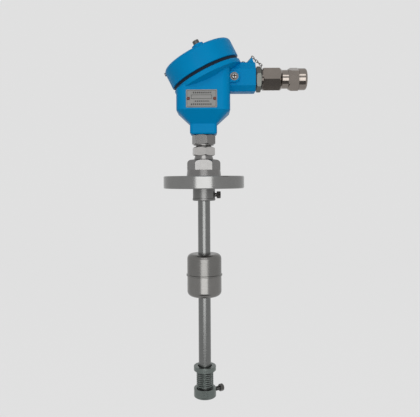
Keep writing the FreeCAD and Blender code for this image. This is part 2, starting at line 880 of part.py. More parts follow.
def make_lock_bolt():
    """Socket-head bolt through the cap; its tip stands just clear of the spigot's end."""
    body = new_body("cap_lock_bolt")
    seat = "(groove_height / 2 + cap_height + lock_boss_height)"
    tip = "(groove_height / 2 + spigot_height + lock_bolt_clearance)"
    head_top = f"({seat} + lock_bolt_head_height)"
    revolve(
        body,
        [
            ("0", tip),
            ("lock_bolt_thread / 2", tip),
            ("lock_bolt_thread / 2", seat),
            ("lock_bolt_head_diameter / 2", seat),
            ("lock_bolt_head_diameter / 2", head_top, "lock_bolt_head_round"),
            ("0", head_top),
        ],
        shift=("0", "0", LOCK_BOLT_REACH),
    )
    sketch = sketch_on(body, "XY_Plane", ("0", f"-{LOCK_BOLT_REACH}", head_top))
    hexagon(sketch, "lock_bolt_socket")
    extrude(body, sketch, "lock_bolt_socket_depth", kind="Pocket")
    return place(
        body,
        x="rim_shift + lock_bolt_shift * cos(cap_tilt)",
        z=f"{RIM_LEVEL} + lock_bolt_shift * sin(cap_tilt)",
        axis=(0, -1, 0),
        turn="cap_tilt",
    )


def make_side_screw():
    """Socket screw in the side of the cap."""
    body = new_body("cap_side_screw")
    rise = "(groove_height / 2 + side_screw_rise)"
    outside = f"-({CAP_RADIUS} + side_screw_proud)"
    inside = f"-({CAP_RADIUS} - side_screw_length)"
    revolve(
        body,
        [
            (inside, "0"),
            (outside, "0"),
            (outside, "side_screw_diameter / 2", "side_screw_round"),
            (inside, "side_screw_diameter / 2"),
        ],
        axis="H_Axis",
        shift=("0", rise, "0"),
    )
    sketch = sketch_on(body, "YZ_Plane", ("0", rise, outside))
    hexagon(sketch, "side_screw_socket")
    extrude(body, sketch, "side_screw_socket", kind="Pocket", reverse=True)
    return tilt_with_cap(body)


def make_nameplate():
    body = new_body("nameplate")
    back, level = "body_width / 2", f"{HEAD_BOTTOM} + plate_centre_height"
    sketch = sketch_on(body, "XZ_Plane", ("0", "0", back))
    rounded_rectangle(sketch, "plate_width", "plate_height", "plate_corner")
    extrude(body, sketch, "plate_thickness")
    front = ("0", "0", "body_width / 2 + plate_thickness")
    for side in ("-", ""):
        drill(body, "XZ_Plane", "rivet_diameter", "plate_thickness", front, f"{side}rivet_spacing / 2", "0")
    return place(body, x="plate_shift", z=level)


def make_rivet(name, x):
    """Domed rivet through the nameplate into the head."""
    body = new_body(name)
    face = "(body_width / 2 + plate_thickness)"
    revolve(
        body,
        [
            ("0", "-(body_width / 2 - rivet_grip)"),
            ("rivet_diameter / 2", "-(body_width / 2 - rivet_grip)"),
            ("rivet_diameter / 2", f"-{face}"),
            ("rivet_head_diameter / 2", f"-{face}"),
            ("rivet_head_diameter / 2", f"-({face} + rivet_head_height)", "rivet_head_round"),
            ("0", f"-({face} + rivet_head_height)"),
        ],
        plane="XY_Plane",
    )
    return place(body, x=x, z=f"{HEAD_BOTTOM} + plate_centre_height")


def make_earth_washer():
    body = new_body("earth_washer")
    sketch = sketch_on(body, "XZ_Plane", ("0", "0", "earth_boss_face"))
    circle(sketch, "earth_washer_diameter")
    circle(sketch, "earth_thread")
    extrude(body, sketch, "earth_washer_thickness")
    return place(body, x="earth_reach", z=ARM_AXIS)


def make_earth_screw():
    """Cross-head screw with a rounded head."""
    body = new_body("earth_screw")
    seat = "(earth_boss_face + earth_washer_thickness)"
    crown = f"({seat} + earth_head_height)"
    tip = "(earth_boss_face - earth_thread_depth + screw_tip_gap)"
    revolve(
        body,
        [
            ("0", f"-{tip}"),
            ("earth_thread / 2", f"-{tip}"),
            ("earth_thread / 2", f"-{seat}"),
            ("earth_head_diameter / 2", f"-{seat}"),
            ("earth_head_diameter / 2", f"-({crown} - earth_head_crown)", "earth_head_round"),
            ("0", f"-{crown}"),
        ],
        plane="XY_Plane",
    )
    slots = (("cross_slot_width", "cross_slot_length"), ("cross_slot_length", "cross_slot_width"))
    for wide, high in slots:
        sketch = sketch_on(body, "XZ_Plane", ("0", "0", crown))
        rounded_rectangle(sketch, wide, high, "cross_slot_width / 4")
        extrude(body, sketch, "cross_slot_depth", kind="Pocket")
    return place(body, x="earth_reach", z=ARM_AXIS)


def make_terminal_block():
    """Moulded block on two feet that bridges the wire hole in the chamber's floor."""
    body = new_body("terminal_block")
    sketch = sketch_on(body, "XY_Plane", ("0", "0", "block_foot_height"))
    rounded_rectangle(sketch, "block_length", "block_width", "block_corner")
    extrude(body, sketch, "block_height")
    for side in ("-", ""):
        inner, outer = f"{side}(block_length / 2 - block_foot_length)", f"{side}block_length / 2"
        sketch = sketch_on(body, "XY_Plane")
        low, high = "-block_width / 2", "block_width / 2"
        outline(sketch, [(inner, low), (outer, low), (outer, high), (inner, high)])
        extrude(body, sketch, "block_foot_height")
    top = ("0", "0", "block_foot_height + block_height")
    for side in ("-", ""):
        x = f"{side}block_screw_spacing / 2"
        drill(body, "XY_Plane", "block_screw_thread", "block_foot_height + block_height", top, x, "0")
        for row in ("-", ""):
            spot = (f"{side}terminal_pitch / 2", f"{row}terminal_row_spacing / 2")
            drill(body, "XY_Plane", "terminal_screw_thread", "terminal_screw_depth", top, *spot)
    return place(body, z=POST_TOP)


def slotted_screw(name, thread, depth, head, spots, level):
    """A group of slotted cheese-head screws, one solid at each spot, seated at the given level."""
    screws = []
    for x, y in spots:
        solids = []
        shank, top = (thread, depth, f"{level} - {depth}"), (head, "screw_head_height", level)
        for diameter, height, z in (shank, top):
            solid = doc.addObject("Part::Cylinder", f"{name}_piece")
            bind(solid, "Radius", f"({diameter}) / 2")
            bind(solid, "Height", height)
            solids.append(place(solid, x=x, y=y, z=z))
        blank = doc.addObject("Part::Fuse", f"{name}_blank")
        blank.Base, blank.Tool = solids
        slot = doc.addObject("Part::Box", f"{name}_slot")
        bind(slot, "Length", f"({head}) + 2 * cut_overshoot")
        bind(slot, "Width", "screw_slot_width")
        bind(slot, "Height", "screw_slot_depth + cut_overshoot")
        place(
            slot,
            x=f"({x}) - ({head}) / 2 - cut_overshoot",
            y=f"({y}) - screw_slot_width / 2",
            z=f"{level} + screw_head_height - screw_slot_depth",
        )
        screw = doc.addObject("Part::Cut", f"{name}_screw")
        screw.Base, screw.Tool = blank, slot
        screws.append(screw)
    group = doc.addObject("Part::Compound", name)
    group.Label = name
    group.Links = screws
    return group


def make_block_screws():
    level = f"({POST_TOP} + block_foot_height + block_height)"
    depth = "(block_foot_height + block_height + block_screw_depth - screw_tip_gap)"
    spots = [("-block_screw_spacing / 2", "0"), ("block_screw_spacing / 2", "0")]
    thread, head = "block_screw_thread", "block_screw_head"
    return slotted_screw("block_fixing_screws", thread, depth, head, spots, level)


def make_terminal_screws():
    level = f"({POST_TOP} + block_foot_height + block_height)"
    signs = [(side, row) for side in ("-", "") for row in ("-", "")]
    spots = [(f"{side}terminal_pitch / 2", f"{row}terminal_row_spacing / 2") for side, row in signs]
    depth = "(terminal_screw_depth - screw_tip_gap)"
    thread, head = "terminal_screw_thread", "terminal_screw_head"
    return slotted_screw("terminal_screws", thread, depth, head, spots, level)


def make_stem():
    body = new_body("stem_tube")
    top = f"({FITTING_TOP} - fitting_thread_depth + stem_tip_depth)"
    revolve(
        body,
        [
            ("stem_diameter / 2 - stem_wall", "0"),
            ("stem_diameter / 2", "0"),
            ("stem_diameter / 2", top),
            ("stem_diameter / 2 - stem_wall", top),
        ],
    )
    return place(body, z="-stem_tip_depth")


def make_plug():
    body = new_body("stem_end_plug")
    inside = "stem_diameter / 2 - stem_wall"
    revolve(body, [("0", "0"), (inside, "0"), (inside, "plug_thickness"), ("0", "plug_thickness")])
    return place(body, z="-stem_tip_depth")


def make_reed_board():
    board = doc.addObject("Part::Box", "reed_board")
    board.Label = "reed_board"
    bind(board, "Length", "board_width")
    bind(board, "Width", "board_thickness")
    bind(board, "Height", "board_top + stem_tip_depth - plug_thickness")
    return place(board, x="-board_width / 2", y="-board_thickness / 2", z="plug_thickness - stem_tip_depth")


def make_reeds():
    """Sealed glass reed switches with their leads, in a row down the front of the board."""
    reeds = []
    capsule = ("reed_diameter", "reed_length")
    leads = ("reed_lead_diameter", "(reed_length + 2 * reed_lead_length)")
    for number in range(REED_COUNT):
        level = f"reed_pitch * {number} - reed_lowest_depth"
        solids = []
        for diameter, length in (capsule, leads):
            solid = doc.addObject("Part::Cylinder", "reed_piece")
            bind(solid, "Radius", f"{diameter} / 2")
            bind(solid, "Height", length)
            front = "-((board_thickness + reed_diameter) / 2 + reed_seat_gap)"
            place(solid, y=front, z=f"{level} - {length} / 2")
            solids.append(solid)
        reed = doc.addObject("Part::Fuse", "reed")
        reed.Base, reed.Tool = solids
        reeds.append(reed)
    group = doc.addObject("Part::Compound", "reed_switches")
    group.Label = "reed_switches"
    group.Links = reeds
    return group


def make_wires():
    """Four leads from the board up through the nipple to the underside of the terminal block."""
    wires = []
    start = "(board_top - wire_overlap)"
    for side in ("-", ""):
        for face in ("-", ""):
            wire = doc.addObject("Part::Cylinder", "lead_wire")
            bind(wire, "Radius", "wire_diameter / 2")
            bind(wire, "Height", f"{POST_TOP} + block_foot_height - {start}")
            away = f"{face}((board_thickness + wire_diameter) / 2 + wire_seat_gap)"
            place(wire, x=f"{side}wire_spread", y=away, z=start)
            wires.append(wire)
    group = doc.addObject("Part::Compound", "lead_wires")
    group.Label = "lead_wires"
    group.Links = wires
    return group


def at_gland(part):
    return place(part, x=ARM_END, z=ARM_AXIS)


def make_gasket():
    body = new_body("gland_gasket")
    hole, edge = "entry_thread / 2", "gasket_diameter / 2"
    start, end = "gasket_seat_gap", "gasket_thickness"
    revolve(body, [(start, hole), (end, hole), (end, edge), (start, edge)], axis="H_Axis")
    return at_gland(body)


def make_gland_lock_nut():
    body = new_body("gland_lock_nut")
    corner = "(gland_lock_width / sqrt(3) + blank_margin)"
    rim = f"({corner} - gland_chamfer)"
    start, end = "gasket_thickness", "(gasket_thickness + gland_lock_height)"
    revolve(
        body,
        [
            (start, "entry_thread / 2"),
            (start, rim),
            (f"{start} + gland_chamfer / 2", corner),
            (f"{end} - gland_chamfer / 2", corner),
            (end, rim),
            (end, "entry_thread / 2"),
        ],
        axis="H_Axis",
    )
    mill_flats(body, "YZ_Plane", "gland_lock_width", "gland_lock_height", end, "gland_lock_turn")
    return at_gland(body)


def make_gland_body():
    """Hollow entry body: thread into the arm, hexagon, and the neck that the nut screws onto."""
    body = new_body("gland_body")
    corner = "(gland_hex_width / sqrt(3) + blank_margin)"
    rim = f"({corner} - gland_hex_crown)"
    hex_end = f"({GLAND_HEX_START} + gland_hex_length)"
    neck_end = f"({GLAND_NECK_START} + gland_neck_length)"
    neck, bore, seat = "gland_neck_diameter / 2", "gland_bore / 2", "gland_seat_bore / 2"
    revolve(
        body,
        [
            ("-gland_thread_depth", bore),
            ("-gland_thread_depth", "entry_thread / 2"),
            (GLAND_HEX_START, "entry_thread / 2"),
            (GLAND_HEX_START, rim),
            (f"{GLAND_HEX_START} + gland_chamfer", corner),
            (hex_end, corner),
            (GLAND_NECK_START, neck),
            (neck_end, neck),
            (neck_end, seat),
            (SEAL_START, seat),
            (SEAL_START, bore),
        ],
        axis="H_Axis",
    )
    length = "gland_hex_length + gland_shoulder_length"
    mill_flats(body, "YZ_Plane", "gland_hex_width", length, GLAND_NECK_START, "gland_hex_turn")
    return at_gland(body)


def make_seal():
    body = new_body("gland_seal")
    start, end = f"{SEAL_START} + seal_seat_gap", f"({SEAL_START} + seal_length)"
    hole, edge = "seal_bore / 2", "(gland_seat_bore / 2 - seal_clearance)"
    revolve(
        body,
        [
            (start, hole),
            (start, edge),
            (end, edge),
            (end, f"{hole} + seal_mouth_chamfer"),
            (f"{end} - seal_mouth_chamfer", hole),
        ],
        axis="H_Axis",
    )
    return at_gland(body)


def make_follower():
    """Thin ring that the nut pushes against the seal without turning it."""
    body = new_body("gland_follower_ring")
    end = f"{FOLLOWER_START} + follower_thickness"
    hole, edge = "follower_bore / 2", "(gland_seat_bore / 2 - seal_clearance)"
    revolve(body, [(FOLLOWER_START, hole), (FOLLOWER_START, edge), (end, edge), (end, hole)], axis="H_Axis")
    return at_gland(body)


def make_gland_nut():
    body = new_body("gland_nut")
    thread = "(gland_neck_diameter / 2 + nut_thread_clearance)"
    corner = "(nut_hex_width / sqrt(3) + blank_margin)"
    hex_start = f"({NUT_START} + nut_flare_length)"
    hex_end = f"({hex_start} + nut_hex_length)"
    ring_start = f"({hex_end} + nut_groove_length)"
    nose_start = f"({FOLLOWER_START} + follower_thickness + seal_clearance)"
    socket_end = f"({GLAND_NECK_START} + gland_neck_length + nut_socket_relief)"
    nose, mouth = "(gland_seat_bore / 2 - nut_nose_clearance)", "gland_bore / 2"
    groove, ring = "nut_groove_diameter / 2", "nut_ring_diameter / 2"
    revolve(
        body,
        [
            (NUT_START, thread),
            (NUT_START, f"{thread} + nut_foot_rise"),
            (hex_start, corner),
            (hex_end, corner),
            (hex_end, groove),
            (ring_start, groove),
            (ring_start, ring, "nut_ring_edge"),
            (NUT_END, ring, "nut_ring_round"),
            (NUT_END, f"{mouth} + nut_mouth_chamfer"),
            (f"{NUT_END} - nut_mouth_chamfer", mouth),
            (nose_start, mouth),
            (nose_start, nose),
            (socket_end, nose),
            (socket_end, thread),
        ],
        axis="H_Axis",
    )
    length = "nut_hex_length + nut_flare_length"
    mill_flats(body, "YZ_Plane", "nut_hex_width", length, hex_end, "nut_hex_turn")
    return at_gland(body)


def swept_wire(path, start, heading, diameter):
    """Round wire of one diameter along a closed path."""
    section = Part.Wire([Part.Circle(start, heading, diameter / 2).toShape()])
    return path.makePipeShell([section], True, True, 2)


def chain_link(length, width, wire):
    """One oval link about the origin, lying along X in the XY plane."""
    radius = (width - wire) / 2
    reach = (length - wire) / 2 - radius
    low_right, high_right = Vector(reach, -radius, 0), Vector(reach, radius, 0)
    high_left, low_left = Vector(-reach, radius, 0), Vector(-reach, -radius, 0)
    path = Part.Wire(
        [
            Part.LineSegment(low_left, low_right).toShape(),
            Part.Arc(low_right, Vector(reach + radius, 0, 0), high_right).toShape(),
            Part.LineSegment(high_right, high_left).toShape(),
            Part.Arc(high_left, Vector(-reach - radius, 0, 0), low_left).toShape(),
        ]
    )
    return swept_wire(path, low_left, Vector(1, 0, 0), wire)


def chain_hook(screw, bend, tip, radius, wire):
    """Long loop that lies flat round the screw, then bends up the ear's slope to its tip."""
    side = Vector(0, radius, 0)
    climb = (tip - bend).normalize()
    path = Part.Wire(
        [
            Part.LineSegment(screw - side, bend - side).toShape(),
            Part.LineSegment(bend - side, tip - side).toShape(),
            Part.Arc(tip - side, tip + climb * radius, tip + side).toShape(),
            Part.LineSegment(tip + side, bend + side).toShape(),
            Part.LineSegment(bend + side, screw + side).toShape(),
            Part.Arc(screw + side, screw - Vector(radius, 0, 0), screw - side).toShape(),
        ]
    )
    return swept_wire(path, screw - side, Vector(1, 0, 0), wire)


def make_chain():
    """A hook from the screw over the ear, then small links down to the eye of the ring."""
    wire, width = value("chain_wire"), value("chain_link_width")
    play = value("chain_play")
    lift = value("chain_wire / 2 + chain_seat_gap")
    ear_foot = Vector(-value("ear_foot_length"), 0, value("arm_top_height"))
    ear_crest = Vector(-value("ear_crest_start"), 0, value("arm_top_height + ear_height"))
    climb = (ear_crest - ear_foot).normalize()
    away = Vector(-climb.z, 0, climb.x)
    half_angle = math.atan2(climb.z, climb.x) / 2
    bend = ear_foot + Vector(-lift * math.tan(half_angle), 0, lift)
    screw = Vector(-value("chain_screw_setback"), 0, bend.z)
    hook_radius = value("chain_screw_thread / 2 + chain_seat_gap + chain_wire / 2")
    hook_end = ear_crest + away * lift + climb * value("chain_hook_overhang")
    links = [chain_hook(screw, bend, hook_end - climb * hook_radius, hook_radius, wire)]

    # Where neighbours cross, each link reaches half a wire and half the play past the crossing.
    # The first and last links sit with their round ends about the hook's tip and the eye's wire.
    past = (wire + play) / 2
    eye_top = Vector(value(RING_MIDDLE), 0, value("ring_eye_reach + ring_eye_radius"))
    descent = (eye_top - hook_end).normalize()
    sag = Vector(descent.z, 0, -descent.x) * value("chain_sag")
    round_end = descent * ((width - wire) / 2 - past)
    start = hook_end - round_end
    span = eye_top + round_end - start
    count = int(value("chain_link_count"))
    crossings = []
    for number in range(count + 1):
        share = number / count
        crossings.append(start + span * share + sag * (4 * share * (1 - share)))
    upright = Vector(0, 1, 0)
    for number, (near, far) in enumerate(zip(crossings, crossings[1:])):
        heading = (far - near).normalize()
        across = heading.cross(upright) if number % 2 == 0 else upright
        link = chain_link((far - near).Length + 2 * wire + play, width, wire)
        turn = FreeCAD.Rotation(heading, across, heading.cross(across), "XYZ")
        link.Placement = FreeCAD.Placement((near + far) / 2, turn)
        links.append(link)
    chain = doc.addObject("Part::Feature", "chain")
    chain.Label = "chain"
    chain.Shape = Part.Compound(links)
    return at_gland(chain)


def make_chain_ring():
    """Wire ring round the gland's thread, beside the lock nut, with an eye above the nuts."""
    body = new_body("chain_ring")
    ring_radius = "(entry_thread / 2 + chain_ring_gap + chain_ring_section / 2)"
    for name, level, section, radius in (
        ("ring", "0", "chain_ring_section", f"-{ring_radius}"),
        ("eye", "ring_eye_reach", "chain_wire", "ring_eye_radius"),
    ):
        sketch = sketch_on(body, "XZ_Plane", (RING_MIDDLE, level, "0"))
        circle(sketch, section, "0", radius)
        turned = body.newObject("PartDesign::Revolution", f"chain_{name}_turned")
        turned.Profile = sketch
        turned.ReferenceAxis = (sketch, ["H_Axis"])
        turned.Angle = 360
        if name == "ring":
            stalk = sketch_on(body, "XY_Plane", (RING_MIDDLE, "0", ring_radius))
            circle(stalk, "ring_stalk_diameter")
            extrude(body, stalk, f"ring_eye_reach - ring_eye_radius - {ring_radius}")
    return at_gland(body)


def make_chain_screw():
    """Round-head screw that holds the end of the hook down on the arm."""
    body = new_body("chain_screw")
    seat = "(chain_wire + 2 * chain_seat_gap)"
    top = f"({seat} + chain_screw_head_height)"
    tip = "(chain_screw_clearance - chain_screw_depth)"
    revolve(
        body,
        [
            ("0", tip),
            ("chain_screw_thread / 2", tip),
            ("chain_screw_thread / 2", seat),
            ("chain_screw_head / 2", seat),
            ("chain_screw_head / 2", top, "chain_screw_round"),
            ("0", top),
        ],
    )
    return place(body, x=f"{ARM_END} - chain_screw_setback", z=f"{ARM_AXIS} + arm_top_height")


def make_collar(name, level, bolt_level, turn="0", lip=False):
    """Round stop collar on the stem, cross-drilled for its set bolt."""
    body = new_body(name)
    height = name.replace("stop_collar", "collar_height")
    bore, outer = "stem_diameter / 2", "collar_diameter / 2"
    chamfered = f"({outer} - collar_chamfer)"
    foot = [(bore, "0"), (chamfered, "0"), (outer, "collar_chamfer")]
    if lip:
        proud = f"({outer} + collar_lip_proud)"
        lip_top = (outer, "collar_lip_height + collar_lip_blend")
        foot[2:] = [(proud, "collar_chamfer"), (proud, "collar_lip_height"), lip_top]
    revolve(body, foot + [(outer, f"{height} - collar_chamfer"), (chamfered, height), (bore, height)])
    drill(body, "YZ_Plane", "set_bolt_thread", "collar_diameter", x="0", y=bolt_level, reverse=True)
    return place(body, z=level, axis=(0, 0, 1), turn=turn)


def make_set_bolt(name, level, turn="0"):
    """Hexagon-head bolt that bears on the stem through its collar."""
    body = new_body(name)
    reach = name.replace("set_bolt", "bolt_reach")
    tip, seat = "(stem_diameter / 2 + set_bolt_tip_gap)", f"({reach} - set_bolt_head_height)"
    thread, corner = "set_bolt_thread / 2", "(set_bolt_width / sqrt(3) + blank_margin)"
    rim = f"({corner} - set_bolt_chamfer)"
    revolve(
        body,
        [
            (tip, "0"),
            (tip, thread),
            (seat, thread),
            (seat, rim),
            (f"{seat} + set_bolt_chamfer", corner),
            (f"{reach} - set_bolt_chamfer", corner),
            (reach, rim),
            (reach, "0"),
        ],
        axis="H_Axis",
    )
    mill_flats(body, "YZ_Plane", "set_bolt_width", "set_bolt_head_height", reach, "set_bolt_head_turn")
    return place(body, z=level, axis=(0, 0, 1), turn=turn)


def make_float_shell(name, rises):
    """Half of the float, drawn from sheet, with half of the weld bead at its open edge."""
    body = new_body(name)
    sign = "" if rises else "-"
    outer, inner = "float_diameter / 2", "(float_diameter / 2 - float_wall)"
    tube = f"({FLOAT_BORE} + float_tube_wall)"
    end, bead = f"{sign}(float_length / 2)", f"{sign}float_bead_half_height"
    flat = f"{sign}float_bead_flat"
    inside = f"{sign}(float_length / 2 - float_wall)"
    revolve(
        body,
        [
            (inner, "0"),
            (f"{outer} + float_bead_proud", "0"),
            (f"{outer} + float_bead_proud", flat),
            (outer, bead),
            (outer, end, "float_shoulder"),
            (tube, end),
            (tube, inside),
            (inner, inside, "float_shoulder - float_wall"),
        ],
    )
    return place(body, z="-(float_top_depth + float_length / 2)")


def make_float_tube():
    body = new_body("float_inner_tube")
    bore, outer = FLOAT_BORE, f"{FLOAT_BORE} + float_tube_wall"
    low, high = "-float_length / 2", "float_length / 2"
    revolve(body, [(bore, low), (outer, low), (outer, high), (bore, high)])
    return place(body, z="-(float_top_depth + float_length / 2)")


def make_magnet():
    body = new_body("float_magnet")
    inner, outer = f"{FLOAT_BORE} + float_tube_wall", "magnet_diameter / 2"
    low, high = "-magnet_height / 2", "magnet_height / 2"
    revolve(body, [(inner, low), (outer, low, "magnet_round"), (outer, high, "magnet_round"), (inner, high)])
    return place(body, z="-(float_top_depth + float_length / 2)")


def make_washer():
    body = new_body("buffer_washer")
    bore, outer = "(stem_diameter / 2 + washer_clearance)", "washer_diameter / 2"
    revolve(
        body,
        [
            (bore, "0"),
            (outer, "0", "washer_chamfer"),
            (outer, "washer_thickness", "washer_chamfer"),
            (bore, "washer_thickness"),
        ],
    )
    return place(body, z=f"{COLLAR_TOP} + spring_length")


def make_spring():
    """Coil spring that fills the space from the lower collar to the washer."""
    body = new_body("buffer_spring")
    gap, mean = "spring_seat_gap", "(spring_diameter - spring_wire) / 2"
    sketch = sketch_on(body, "XZ_Plane")
    circle(sketch, "spring_wire", mean, f"{gap} + spring_wire / 2")
    coil = body.newObject("PartDesign::AdditiveHelix", "spring_coil")
    coil.Profile = sketch
    coil.ReferenceAxis = (sketch, ["V_Axis"])
    coil.Mode = "height-turns-angle"
    bind(coil, "Height", f"spring_length - 2 * {gap} - spring_wire")
    bind(coil, "Turns", "spring_turns")
    return place(body, z=COLLAR_TOP)


PARTS = [
    make_flange(),
    make_fitting(),
    make_ferrule(),
    make_nipple(),
    make_neck_nut("neck_lock_nut", FERRULE_TOP),
    make_neck_nut("union_nut", f"{LOCK_NUT_TOP} + thread_gap", "union_face_height"),
    make_head(),
    make_cap(),
    make_seal_ring(),
    make_lock_bolt(),
    make_side_screw(),
    make_nameplate(),
    make_rivet("nameplate_rivet_left", "plate_shift - rivet_spacing / 2"),
    make_rivet("nameplate_rivet_right", "plate_shift + rivet_spacing / 2"),
    make_earth_washer(),
    make_earth_screw(),
    make_terminal_block(),
    make_block_screws(),
    make_terminal_screws(),
    make_stem(),
    make_plug(),
    make_reed_board(),
    make_reeds(),
    make_wires(),
    make_gasket(),
    make_gland_lock_nut(),
    make_gland_body(),
    make_seal(),
    make_follower(),
    make_gland_nut(),
    make_chain(),
    make_chain_ring(),
    make_chain_screw(),
    make_collar("upper_stop_collar", "-upper_collar_height", UPPER_BOLT_RISE, lip=True),
    make_collar("lower_stop_collar", "-stem_tip_depth", "lower_bolt_rise", "lower_bolt_turn"),
    make_set_bolt("upper_set_bolt", "-upper_bolt_depth"),
    make_set_bolt("lower_set_bolt", "lower_bolt_rise - stem_tip_depth", "lower_bolt_turn"),
    make_float_shell("float_upper_shell", True),
    make_float_shell("float_lower_shell", False),
    make_float_tube(),
    make_magnet(),
    make_washer(),
    make_spring(),
]
doc.recompute()

for item in doc.Objects:
    if {"Invalid", "Error"} & set(item.State):
        raise RuntimeError(f"{item.Name} failed: {item.State}")
    if item.TypeId in ("PartDesign::Pocket", "PartDesign::Groove"):
        if item.Shape.Volume >= item.BaseFeature.Shape.Volume - 1e-6:
            raise RuntimeError(f"{item.Name} cuts nothing")
for part in PARTS:
    if part.Shape.isNull() or not part.Shape.isValid():
        raise RuntimeError(f"{part.Label} has no valid shape")

os.makedirs("parts", exist_ok=True)
for part in PARTS:
    part.Shape.exportStep(f"parts/{part.Label}.step")
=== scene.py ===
import math

import bpy
from mathutils import Matrix


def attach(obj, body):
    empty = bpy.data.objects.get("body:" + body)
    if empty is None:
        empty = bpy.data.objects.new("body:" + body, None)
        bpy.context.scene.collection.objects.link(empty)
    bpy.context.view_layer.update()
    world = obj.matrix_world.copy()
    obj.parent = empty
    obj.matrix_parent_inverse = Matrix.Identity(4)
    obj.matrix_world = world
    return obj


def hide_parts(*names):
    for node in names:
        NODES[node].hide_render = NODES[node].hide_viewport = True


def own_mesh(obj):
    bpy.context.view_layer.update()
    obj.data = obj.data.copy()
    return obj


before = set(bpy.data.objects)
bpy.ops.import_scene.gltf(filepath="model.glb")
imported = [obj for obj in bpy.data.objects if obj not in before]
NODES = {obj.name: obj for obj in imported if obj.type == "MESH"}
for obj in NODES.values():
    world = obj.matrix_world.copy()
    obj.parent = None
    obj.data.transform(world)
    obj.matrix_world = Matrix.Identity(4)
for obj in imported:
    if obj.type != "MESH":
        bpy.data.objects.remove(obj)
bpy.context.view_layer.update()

MM = 0.001

# Sockets of the Mix node when it mixes colours: its two inputs and its output
MIX_FIRST, MIX_SECOND, MIX_COLOUR = 6, 7, 2

# Places repeated from the solids, in metres and radians
GLAND_AXIS_HEIGHT = 0.1418  # the gland lies along X
RIM_CENTRE = (0.0037, 0, 0.149)  # middle of the groove under the cap
RIM_TILT = math.radians(26.6)
SCREW_CROWN = -0.0259  # Y of the earth screw's outer face
PLATE_ACROSS, PLATE_UP = -2.0 * MM, 112.0 * MM  # X and Z of the nameplate's middle


def linear(colour):
    """A colour written as sRGB hex, as the linear red, green, blue and alpha a shader takes."""
    channels = [int(colour[start:start + 2], 16) / 255 for start in (0, 2, 4)]
    return [c / 12.92 if c <= 0.04045 else ((c + 0.055) / 1.055) ** 2.4 for c in channels] + [1]


def add(owner, kind, values=None, links=None, **settings):
    """Adds a node with its settings, its socket values and the links into it."""
    tree = owner.node_tree
    made = tree.nodes.new(kind)
    for name, setting in settings.items():
        setattr(made, name, setting)
    for name, value in (values or {}).items():
        made.inputs[name].default_value = value
    for name, (source, output) in (links or {}).items():
        tree.links.new(source.outputs[output], made.inputs[name])
    return made


def calculate(owner, operation, *terms):
    """A Math node: each term is a number, or a node with the name of its output."""
    made = add(owner, "ShaderNodeMath", operation=operation)
    for place, term in enumerate(terms):
        if isinstance(term, tuple):
            source, output = term
            owner.node_tree.links.new(source.outputs[output], made.inputs[place])
        else:
            made.inputs[place].default_value = term
    return made


def shown_rays(owner):
    """The light path, and its camera, glossy and transmission rays in one."""
    rays = add(owner, "ShaderNodeLightPath")
    seen = calculate(owner, "MAXIMUM", (rays, "Is Camera Ray"), (rays, "Is Glossy Ray"))
    return rays, calculate(owner, "MAXIMUM", (seen, 0), (rays, "Is Transmission Ray"))


def new_material(name):
    """An empty node material with its output, which the surface is linked to last."""
    material = bpy.data.materials.new(name)
    material.use_nodes = True
    material.node_tree.nodes.clear()
    return material


def finish_material(material, shader):
    add(material, "ShaderNodeOutputMaterial", links={"Surface": (shader, 0)})
    return material


def dress(names, material):
    """Gives CAD nodes their finish."""
    for name in names:
        slots = NODES[name].material_slots
        for material_slot in slots:
            material_slot.material = material
        if not slots:
            NODES[name].data.materials.append(material)


def painted_casting():
    """Die-cast aluminium under a baked satin paint: soft highlights and a faint orange peel."""
    material = new_material("baked_satin_paint")
    place = add(material, "ShaderNodeTexCoord")
    cloud = add(
        material,
        "ShaderNodeTexNoise",
        {"Scale": 1 / (24 * MM), "Detail": 2.0, "Roughness": 0.5},
        {"Vector": (place, "Object")},
    )
    peel = add(
        material,
        "ShaderNodeTexNoise",
        {"Scale": 1 / (1.6 * MM), "Detail": 1.0, "Roughness": 0.4},
        {"Vector": (place, "Object")},
    )
    tint = add(
        material,
        "ShaderNodeMix",
        {MIX_FIRST: linear("0085C0"), MIX_SECOND: linear("0090CB")},
        {"Factor": (cloud, "Fac")},
        data_type="RGBA",
    )
    gloss = add(
        material,
        "ShaderNodeMapRange",
        {"To Min": 0.30, "To Max": 0.40},
        {"Value": (cloud, "Fac")},
    )
    relief = add(
        material,
        "ShaderNodeBump",
        {"Strength": 0.35, "Distance": 0.03 * MM},
        {"Height": (peel, "Fac")},
    )
    shader = add(
        material,
        "ShaderNodeBsdfPrincipled",
        {"IOR": 1.5, "Specular IOR Level": 0.05},
        {"Base Color": (tint, MIX_COLOUR), "Roughness": (gloss, "Result"), "Normal": (relief, "Normal")},
    )
    return finish_material(material, shader)


